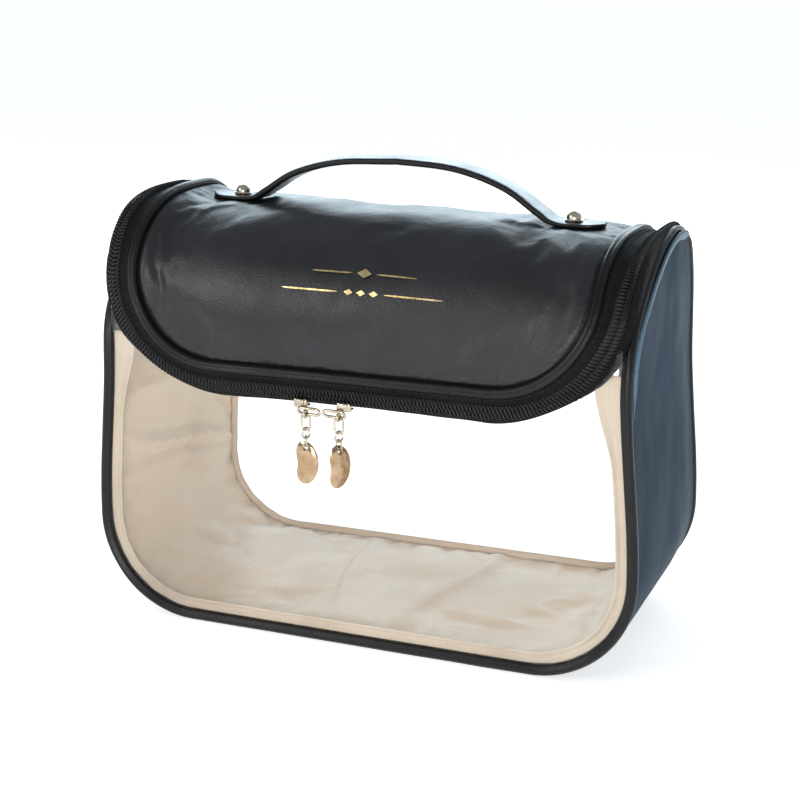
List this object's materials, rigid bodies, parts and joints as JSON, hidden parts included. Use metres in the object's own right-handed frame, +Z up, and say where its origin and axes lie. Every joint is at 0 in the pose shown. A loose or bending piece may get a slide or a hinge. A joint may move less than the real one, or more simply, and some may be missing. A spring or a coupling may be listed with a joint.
{
  "type": "makeup bag",
  "caption": "Boxy travel makeup bag with clear front and back panels, a leather-look gusset and padded flap lid, a round-the-lid coil zipper with hanging pulls and a top strap handle.",
  "frame": {"origin": "middle of the base, on the surface the bag stands on", "axes": "+X to the right along the width, +Y to the back, +Z up; the zipper pulls face -Y"},
  "size_m": [0.23, 0.1173, 0.1886],
  "materials": {
    "slate_leather": "satin, fine grain",
    "black_leather": "semi-gloss, fine grain",
    "strap_leather": "gloss, smooth",
    "piping": "gloss, smooth",
    "clear_film": "clear, glossy",
    "lining": "satin weave",
    "binding": "matt ribbed tape",
    "zipper_tape": "matt twill",
    "zipper_coil": "satin",
    "foam": "matt",
    "board": "plain pressed board",
    "pale_gold": "polished",
    "rose_gold": "mirror polished"
  },
  "bodies": {
    "bag": {"gusset_leather": "slate_leather", "gusset_foam": "foam", "gusset_lining": "lining", "base_board": "board", "front_window": "clear_film", "back_window": "clear_film", "front_piping": "piping", "back_piping": "piping", "front_seam_binding": "binding", "back_seam_binding": "binding", "back_yoke": "black_leather", "yoke_lining": "lining", "body_zipper_coil": "zipper_coil", "body_zipper_tape": "zipper_tape"},
    "lid": {"lid_leather": "black_leather", "lid_foam": "foam", "lid_lining": "lining", "lid_piping": "piping", "lid_zipper_tape": "zipper_tape", "lid_zipper_coil": "zipper_coil", "handle_strap": "strap_leather", "handle_stud_left": "pale_gold", "handle_stud_right": "pale_gold", "stud_washer_left": "pale_gold", "stud_washer_right": "pale_gold"},
    "slider_left": {"slider_left": "pale_gold"},
    "pull_ring_left": {"pull_ring_left": "pale_gold"},
    "upper_link_left": {"upper_link_left": "pale_gold"},
    "lower_link_left": {"lower_link_left": "pale_gold"},
    "bean_left": {"bean_left": "rose_gold"},
    "slider_right": {"slider_right": "pale_gold"},
    "pull_ring_right": {"pull_ring_right": "pale_gold"},
    "upper_link_right": {"upper_link_right": "pale_gold"},
    "lower_link_right": {"lower_link_right": "pale_gold"},
    "bean_right": {"bean_right": "rose_gold"}
  },
  "joints": [
    {"name": "lid_hinge", "type": "hinge", "parent": "bag", "child": "lid", "pos_m": [0, 0.038, 0.15763], "axis": [-1, 0, 0], "range_deg": [0, 150]},
    {"name": "slider_left_slide", "type": "slide", "parent": "bag", "child": "slider_left", "axis": [-1, 0, 0], "range_m": [0, 0.0345]},
    {"name": "pull_ring_left_swing", "type": "hinge", "parent": "slider_left", "child": "pull_ring_left", "pos_m": [-0.0165, -0.0592, 0.096], "axis": [-1, 0, 0], "range_deg": [0, 60]},
    {"name": "upper_link_left_swing", "type": "hinge", "parent": "pull_ring_left", "child": "upper_link_left", "pos_m": [-0.0165, -0.0592, 0.0899], "axis": [-1, 0, 0], "range_deg": [0, 20]},
    {"name": "lower_link_left_swing", "type": "hinge", "parent": "upper_link_left", "child": "lower_link_left", "pos_m": [-0.0165, -0.0592, 0.08665], "axis": [-1, 0, 0], "range_deg": [0, 20]},
    {"name": "bean_left_twist", "type": "hinge", "parent": "lower_link_left", "child": "bean_left", "pos_m": [-0.0165, -0.0592, 0.0833], "axis": [0, 0, 1], "range_deg": [-10, 60]},
    {"name": "slider_right_slide", "type": "slide", "parent": "bag", "child": "slider_right", "axis": [1, 0, 0], "range_m": [0, 0.0535]},
    {"name": "pull_ring_right_swing", "type": "hinge", "parent": "slider_right", "child": "pull_ring_right", "pos_m": [-0.0025, -0.0592, 0.096], "axis": [-1, 0, 0], "range_deg": [0, 60]},
    {"name": "upper_link_right_swing", "type": "hinge", "parent": "pull_ring_right", "child": "upper_link_right", "pos_m": [-0.0025, -0.0592, 0.0899], "axis": [-1, 0, 0], "range_deg": [0, 20]},
    {"name": "lower_link_right_swing", "type": "hinge", "parent": "upper_link_right", "child": "lower_link_right", "pos_m": [-0.0025, -0.0592, 0.08665], "axis": [-1, 0, 0], "range_deg": [0, 20]},
    {"name": "bean_right_twist", "type": "hinge", "parent": "lower_link_right", "child": "bean_right", "pos_m": [-0.0025, -0.0592, 0.0833], "axis": [0, 0, 1], "range_deg": [-30, 40]}
  ]
}
